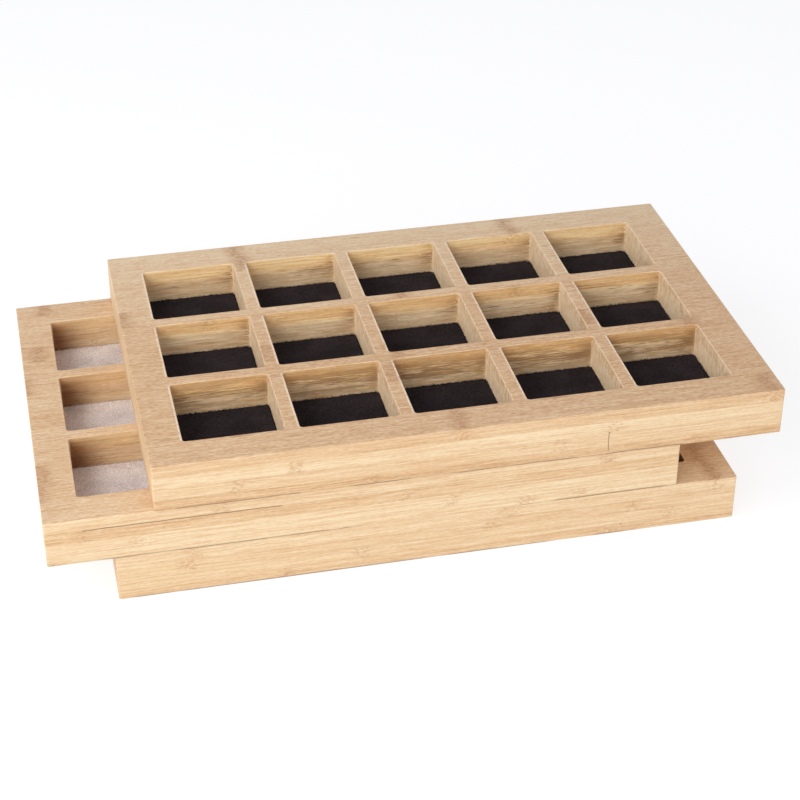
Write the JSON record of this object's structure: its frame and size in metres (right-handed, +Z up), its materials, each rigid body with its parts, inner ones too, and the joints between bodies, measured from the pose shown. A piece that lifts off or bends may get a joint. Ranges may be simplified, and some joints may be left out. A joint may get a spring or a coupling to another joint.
{
  "type": "grid display box",
  "caption": "Stack of loose bamboo display trays, each a grid of square pockets with suede liners; the upper trays slide lengthways to show those below.",
  "frame": {"origin": "centre of the bottom tray's underside", "axes": "+X along the trays to the right as seen from the front, +Y from front to back, +Z up"},
  "size_m": [0.408, 0.232, 0.0843],
  "materials": {
    "bamboo_face": "sanded and oiled bamboo, satin",
    "bamboo_core": "sanded and oiled bamboo edge, satin",
    "bamboo_base": "sanded and oiled bamboo, satin",
    "black_liner": "black suede, matte",
    "grey_liner": "warm grey velvet, matte with a soft nap"
  },
  "bodies": {
    "bottom_tray": {"bottom_tray_base_ply": "bamboo_base", "bottom_tray_lower_core_ply": "bamboo_core", "bottom_tray_upper_core_ply": "bamboo_core", "bottom_tray_face_ply": "bamboo_face", "bottom_tray_pad_row1_col1": "black_liner", "bottom_tray_pad_row1_col2": "black_liner", "bottom_tray_pad_row1_col3": "black_liner", "bottom_tray_pad_row1_col4": "black_liner", "bottom_tray_pad_row1_col5": "black_liner", "bottom_tray_pad_row2_col1": "black_liner", "bottom_tray_pad_row2_col2": "black_liner", "bottom_tray_pad_row2_col3": "black_liner", "bottom_tray_pad_row2_col4": "black_liner", "bottom_tray_pad_row2_col5": "black_liner", "bottom_tray_pad_row3_col1": "black_liner", "bottom_tray_pad_row3_col2": "black_liner", "bottom_tray_pad_row3_col3": "black_liner", "bottom_tray_pad_row3_col4": "black_liner", "bottom_tray_pad_row3_col5": "black_liner"},
    "middle_tray": {"middle_tray_base_ply": "bamboo_base", "middle_tray_lower_core_ply": "bamboo_core", "middle_tray_upper_core_ply": "bamboo_core", "middle_tray_face_ply": "bamboo_face", "middle_tray_pad_row1_col1": "grey_liner", "middle_tray_pad_row1_col2": "grey_liner", "middle_tray_pad_row1_col3": "grey_liner", "middle_tray_pad_row1_col4": "grey_liner", "middle_tray_pad_row1_col5": "grey_liner", "middle_tray_pad_row2_col1": "grey_liner", "middle_tray_pad_row2_col2": "grey_liner", "middle_tray_pad_row2_col3": "grey_liner", "middle_tray_pad_row2_col4": "grey_liner", "middle_tray_pad_row2_col5": "grey_liner", "middle_tray_pad_row3_col1": "grey_liner", "middle_tray_pad_row3_col2": "grey_liner", "middle_tray_pad_row3_col3": "grey_liner", "middle_tray_pad_row3_col4": "grey_liner", "middle_tray_pad_row3_col5": "grey_liner"},
    "top_tray": {"top_tray_base_ply": "bamboo_base", "top_tray_lower_core_ply": "bamboo_core", "top_tray_upper_core_ply": "bamboo_core", "top_tray_face_ply": "bamboo_face", "top_tray_pad_row1_col1": "black_liner", "top_tray_pad_row1_col2": "black_liner", "top_tray_pad_row1_col3": "black_liner", "top_tray_pad_row1_col4": "black_liner", "top_tray_pad_row1_col5": "black_liner", "top_tray_pad_row2_col1": "black_liner", "top_tray_pad_row2_col2": "black_liner", "top_tray_pad_row2_col3": "black_liner", "top_tray_pad_row2_col4": "black_liner", "top_tray_pad_row2_col5": "black_liner", "top_tray_pad_row3_col1": "black_liner", "top_tray_pad_row3_col2": "black_liner", "top_tray_pad_row3_col3": "black_liner", "top_tray_pad_row3_col4": "black_liner", "top_tray_pad_row3_col5": "black_liner"}
  },
  "joints": [
    {"name": "middle_tray_slide", "type": "slide", "parent": "bottom_tray", "child": "middle_tray", "axis": [1, 0, 0], "range_m": [-0.074, 0.146]},
    {"name": "top_tray_slide", "type": "slide", "parent": "middle_tray", "child": "top_tray", "axis": [1, 0, 0], "range_m": [-0.168, 0.052]}
  ]
}
